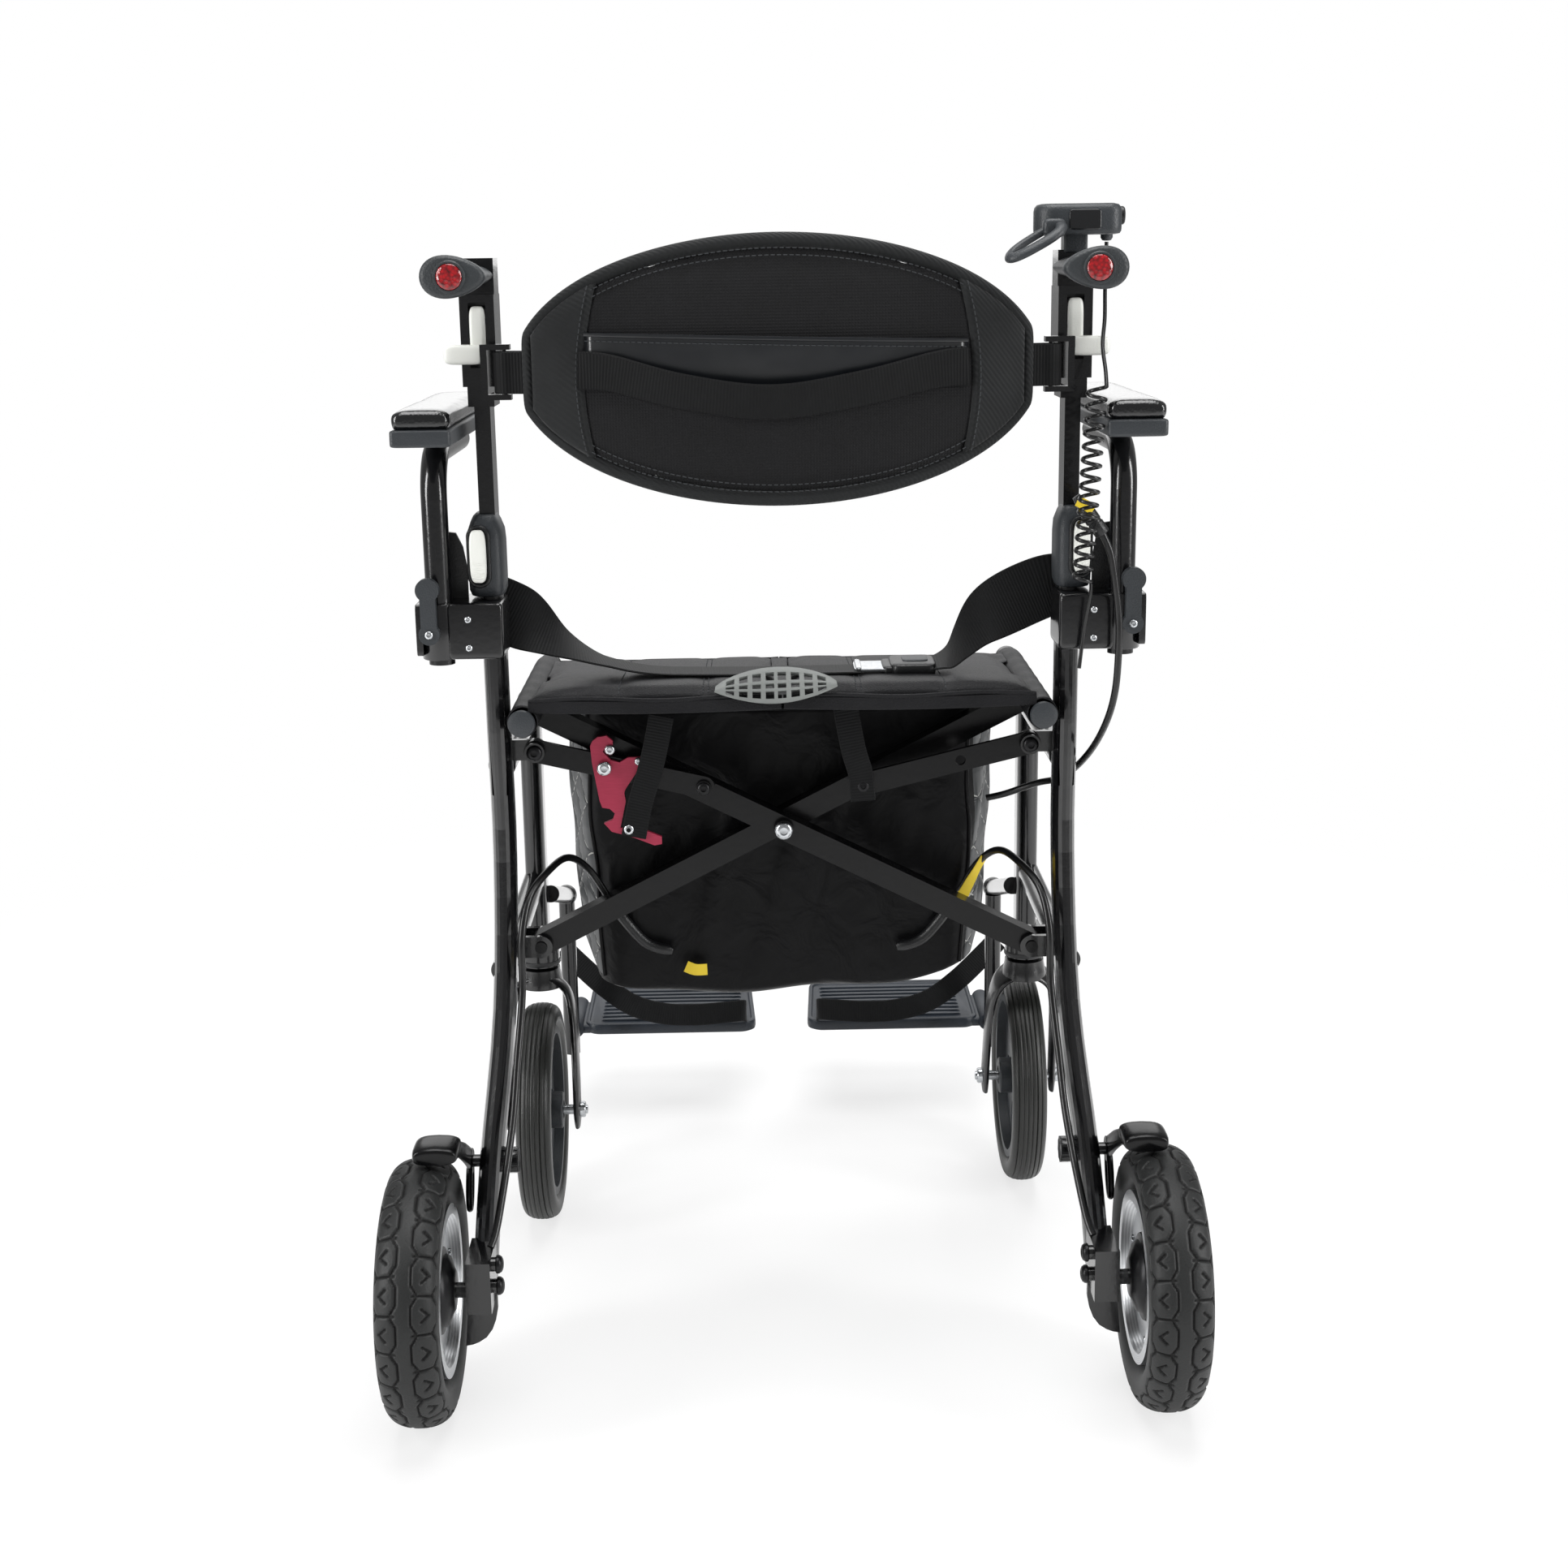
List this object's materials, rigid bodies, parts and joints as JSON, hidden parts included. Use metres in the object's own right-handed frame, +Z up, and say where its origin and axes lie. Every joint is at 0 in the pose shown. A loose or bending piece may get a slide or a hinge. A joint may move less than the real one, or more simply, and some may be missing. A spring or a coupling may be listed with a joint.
{
  "type": "rollator transport chair",
  "caption": "Folding powered transport chair with push handles, cross-braced frame, padded seat and backrest, under-seat bag, flip footplates and swivel casters.",
  "frame": {"origin": "middle of the footprint on the floor", "axes": "+Z up, +Y forward, +X to the chair's right seen from behind"},
  "size_m": [0.618, 0.8176, 0.9055],
  "materials": {
    "black_paint": "gloss",
    "grey_plastic": "satin",
    "ivory_plastic": "satin",
    "grip_rubber": "matt",
    "red_lens": "gloss",
    "tyre_rubber": "matt",
    "silver_rim": "satin",
    "dark_plastic": "satin",
    "pad_skin": "gloss",
    "seat_vinyl": "satin",
    "back_cloth": "matt",
    "webbing": "matt",
    "crimson_paint": "satin",
    "foot_plastic": "matt",
    "cord_skin": "satin"
  },
  "bodies": {
    "left_frame": {"left_main_tube": "black_paint", "left_side_frame": "black_paint", "left_post_clamp": "grey_plastic", "left_motor_lead": "cord_skin", "lap_belt_left": "webbing", "under_seat_bag": "back_cloth"},
    "right_frame": {"right_main_tube": "black_paint", "right_side_frame": "black_paint", "right_post_clamp": "grey_plastic", "right_motor_lead": "cord_skin", "lap_belt_right": "webbing", "power_cable": "cord_skin", "curly_cord": "cord_skin"},
    "cross_bar_a": {"cross_bar_a": "black_paint"},
    "cross_bar_b": {"cross_bar_b": "black_paint"},
    "left_link": {"left_link": "black_paint", "latch_strap": "webbing"},
    "right_link": {"right_link": "black_paint", "link_strap": "webbing"},
    "latch": {"latch": "crimson_paint"},
    "seat_left": {"seat_left": "seat_vinyl", "carry_grip": "grey_plastic"},
    "seat_right": {"seat_right": "seat_vinyl", "belt_buckle": "dark_plastic"},
    "left_handle": {"left_handle_post": "black_paint", "left_grip": "grip_rubber", "left_reflector": "red_lens"},
    "left_release_lever": {"left_release_lever": "ivory_plastic"},
    "left_clamp_lever": {"left_clamp_lever": "ivory_plastic"},
    "left_armrest": {"left_armrest": "black_paint", "left_armrest_pad": "pad_skin"},
    "left_cam_lever": {"left_cam_lever": "grey_plastic"},
    "left_rear_wheel": {"left_motor_rim": "silver_rim", "left_rear_tyre": "tyre_rubber"},
    "left_caster": {"left_caster_fork": "black_paint"},
    "left_caster_wheel": {"left_caster_rim": "dark_plastic", "left_caster_tyre": "tyre_rubber"},
    "left_brake": {"left_brake": "black_paint"},
    "left_footplate": {"left_footplate": "foot_plastic", "left_heel_strap": "webbing"},
    "right_handle": {"right_handle_post": "black_paint", "right_grip": "grip_rubber", "right_reflector": "red_lens", "controller": "dark_plastic"},
    "right_release_lever": {"right_release_lever": "ivory_plastic"},
    "right_clamp_lever": {"right_clamp_lever": "ivory_plastic"},
    "right_armrest": {"right_armrest": "black_paint", "right_armrest_pad": "pad_skin"},
    "right_cam_lever": {"right_cam_lever": "grey_plastic"},
    "right_rear_wheel": {"right_motor_rim": "silver_rim", "right_rear_tyre": "tyre_rubber"},
    "right_caster": {"right_caster_fork": "black_paint"},
    "right_caster_wheel": {"right_caster_rim": "dark_plastic", "right_caster_tyre": "tyre_rubber"},
    "right_brake": {"right_brake": "black_paint"},
    "right_footplate": {"right_footplate": "foot_plastic", "right_heel_strap": "webbing"},
    "backrest_left": {"backrest_left": "back_cloth"},
    "backrest_right": {"backrest_right": "back_cloth"},
    "controller_paddle": {"controller_paddle": "dark_plastic"}
  },
  "joints": [
    {"name": "frame_fold", "type": "hinge", "parent": "left_frame", "child": "cross_bar_a", "pos_m": [-0.203, -0.1022, 0.315], "axis": [0, -1, 0], "range_deg": [0, 40], "deforming": ["under_seat_bag", "lap_belt_left", "lap_belt_right", "latch_strap", "link_strap", "left_motor_lead", "right_motor_lead", "power_cable"]},
    {"name": "brace_scissor", "type": "hinge", "parent": "cross_bar_a", "child": "cross_bar_b", "pos_m": [0, -0.1122, 0.418], "axis": [0, -1, 0], "range_deg": [-80, 0]},
    {"name": "right_frame_hinge", "type": "hinge", "parent": "cross_bar_b", "child": "right_frame", "pos_m": [0.203, -0.1222, 0.315], "axis": [0, -1, 0], "range_deg": [0, 40]},
    {"name": "left_link_turn", "type": "hinge", "parent": "left_frame", "child": "left_link", "pos_m": [-0.198, -0.1452, 0.489], "axis": [0, -1, 0], "range_deg": [0, 78]},
    {"name": "right_link_turn", "type": "hinge", "parent": "right_frame", "child": "right_link", "pos_m": [0.198, -0.1452, 0.489], "axis": [0, 1, 0], "range_deg": [0, 78]},
    {"name": "latch_turn", "type": "hinge", "parent": "left_link", "child": "latch", "pos_m": [-0.14256, -0.1502, 0.47576], "axis": [0, -1, 0], "range_deg": [0, 15], "stiffness_Nm_per_rad": 0.4},
    {"name": "seat_left_fold", "type": "hinge", "parent": "cross_bar_b", "child": "seat_left", "pos_m": [-0.203, -0.0772, 0.521], "axis": [0, -1, 0], "range_deg": [0, 106]},
    {"name": "seat_right_fold", "type": "hinge", "parent": "cross_bar_a", "child": "seat_right", "pos_m": [0.203, -0.0772, 0.521], "axis": [0, 1, 0], "range_deg": [0, 106]},
    {"name": "left_handle_height", "type": "slide", "parent": "left_frame", "child": "left_handle", "axis": [0, 0, 1], "range_m": [0, 0.06]},
    {"name": "left_release", "type": "hinge", "parent": "left_handle", "child": "left_release_lever", "pos_m": [-0.225, -0.1582, 0.83], "axis": [-1, 0, 0], "range_deg": [0, 12], "stiffness_Nm_per_rad": 0.3},
    {"name": "left_clamp", "type": "hinge", "parent": "left_frame", "child": "left_clamp_lever", "pos_m": [-0.231, -0.1777, 0.673], "axis": [-1, 0, 0], "range_deg": [0, 80]},
    {"name": "left_armrest_height", "type": "slide", "parent": "left_frame", "child": "left_armrest", "axis": [0, 0, 1], "range_m": [0, 0.014]},
    {"name": "left_cam", "type": "hinge", "parent": "left_frame", "child": "left_cam_lever", "pos_m": [-0.269, -0.1992, 0.594], "axis": [0, -1, 0], "range_deg": [0, 80]},
    {"name": "left_wheel_spin", "type": "hinge", "parent": "left_frame", "child": "left_rear_wheel", "pos_m": [-0.284, -0.3072, 0.1016], "axis": [1, 0, 0], "continuous": true},
    {"name": "left_caster_swivel", "type": "hinge", "parent": "left_frame", "child": "left_caster", "pos_m": [-0.226, 0.0888, 0.24], "axis": [0, 0, 1], "continuous": true},
    {"name": "left_caster_spin", "type": "hinge", "parent": "left_caster", "child": "left_caster_wheel", "pos_m": [-0.226, 0.0558, 0.1], "axis": [1, 0, 0], "continuous": true},
    {"name": "left_brake_press", "type": "hinge", "parent": "left_frame", "child": "left_brake", "pos_m": [-0.255, -0.2272, 0.1736], "axis": [1, 0, 0], "range_deg": [0, 1.8], "stiffness_Nm_per_rad": 8},
    {"name": "left_foot_flip", "type": "hinge", "parent": "left_frame", "child": "left_footplate", "pos_m": [-0.214, 0.3248, 0.094], "axis": [0, -1, 0], "range_deg": [0, 80]},
    {"name": "right_handle_height", "type": "slide", "parent": "right_frame", "child": "right_handle", "axis": [0, 0, 1], "range_m": [0, 0.06], "deforming": ["curly_cord"]},
    {"name": "right_release", "type": "hinge", "parent": "right_handle", "child": "right_release_lever", "pos_m": [0.225, -0.1582, 0.83], "axis": [-1, 0, 0], "range_deg": [0, 12], "stiffness_Nm_per_rad": 0.3},
    {"name": "right_clamp", "type": "hinge", "parent": "right_frame", "child": "right_clamp_lever", "pos_m": [0.231, -0.1777, 0.673], "axis": [-1, 0, 0], "range_deg": [0, 80], "deforming": ["curly_cord"]},
    {"name": "right_armrest_height", "type": "slide", "parent": "right_frame", "child": "right_armrest", "axis": [0, 0, 1], "range_m": [0, 0.014]},
    {"name": "right_cam", "type": "hinge", "parent": "right_frame", "child": "right_cam_lever", "pos_m": [0.269, -0.1992, 0.594], "axis": [0, 1, 0], "range_deg": [0, 80]},
    {"name": "right_wheel_spin", "type": "hinge", "parent": "right_frame", "child": "right_rear_wheel", "pos_m": [0.284, -0.3072, 0.1016], "axis": [1, 0, 0], "continuous": true},
    {"name": "right_caster_swivel", "type": "hinge", "parent": "right_frame", "child": "right_caster", "pos_m": [0.226, 0.0888, 0.24], "axis": [0, 0, 1], "continuous": true},
    {"name": "right_caster_spin", "type": "hinge", "parent": "right_caster", "child": "right_caster_wheel", "pos_m": [0.226, 0.1218, 0.1], "axis": [1, 0, 0], "continuous": true},
    {"name": "right_brake_press", "type": "hinge", "parent": "right_frame", "child": "right_brake", "pos_m": [0.255, -0.2272, 0.1736], "axis": [1, 0, 0], "range_deg": [0, 1.8], "stiffness_Nm_per_rad": 8},
    {"name": "right_foot_flip", "type": "hinge", "parent": "right_frame", "child": "right_footplate", "pos_m": [0.214, 0.3248, 0.094], "axis": [0, 1, 0], "range_deg": [0, 80]},
    {"name": "backrest_left_fold", "type": "hinge", "parent": "left_handle", "child": "backrest_left", "pos_m": [-0.203, -0.2022, 0.79], "axis": [0, 0, -1], "range_deg": [0, 60]},
    {"name": "backrest_right_fold", "type": "hinge", "parent": "backrest_left", "child": "backrest_right", "pos_m": [0, -0.2272, 0.79], "axis": [0, 0, 1], "range_deg": [0, 120]},
    {"name": "paddle_turn", "type": "hinge", "parent": "right_handle", "child": "controller_paddle", "pos_m": [0.201, -0.1872, 0.8945], "axis": [0, 1, 0], "range_deg": [-12, 12], "stiffness_Nm_per_rad": 0.2}
  ],
  "couplings": [
    {"joint": "brace_scissor", "follows": "frame_fold", "ratio": -2},
    {"joint": "right_frame_hinge", "follows": "frame_fold", "ratio": 1},
    {"joint": "left_link_turn", "follows": "frame_fold", "ratio": 1.95},
    {"joint": "right_link_turn", "follows": "frame_fold", "ratio": 1.95},
    {"joint": "seat_left_fold", "follows": "frame_fold", "ratio": 2.65},
    {"joint": "seat_right_fold", "follows": "frame_fold", "ratio": 2.65},
    {"joint": "left_foot_flip", "follows": "frame_fold", "ratio": 2},
    {"joint": "right_foot_flip", "follows": "frame_fold", "ratio": 2},
    {"joint": "right_handle_height", "follows": "left_handle_height", "ratio": 1},
    {"joint": "backrest_left_fold", "follows": "frame_fold", "ratio": 1.5},
    {"joint": "backrest_right_fold", "follows": "frame_fold", "ratio": 3}
  ]
}
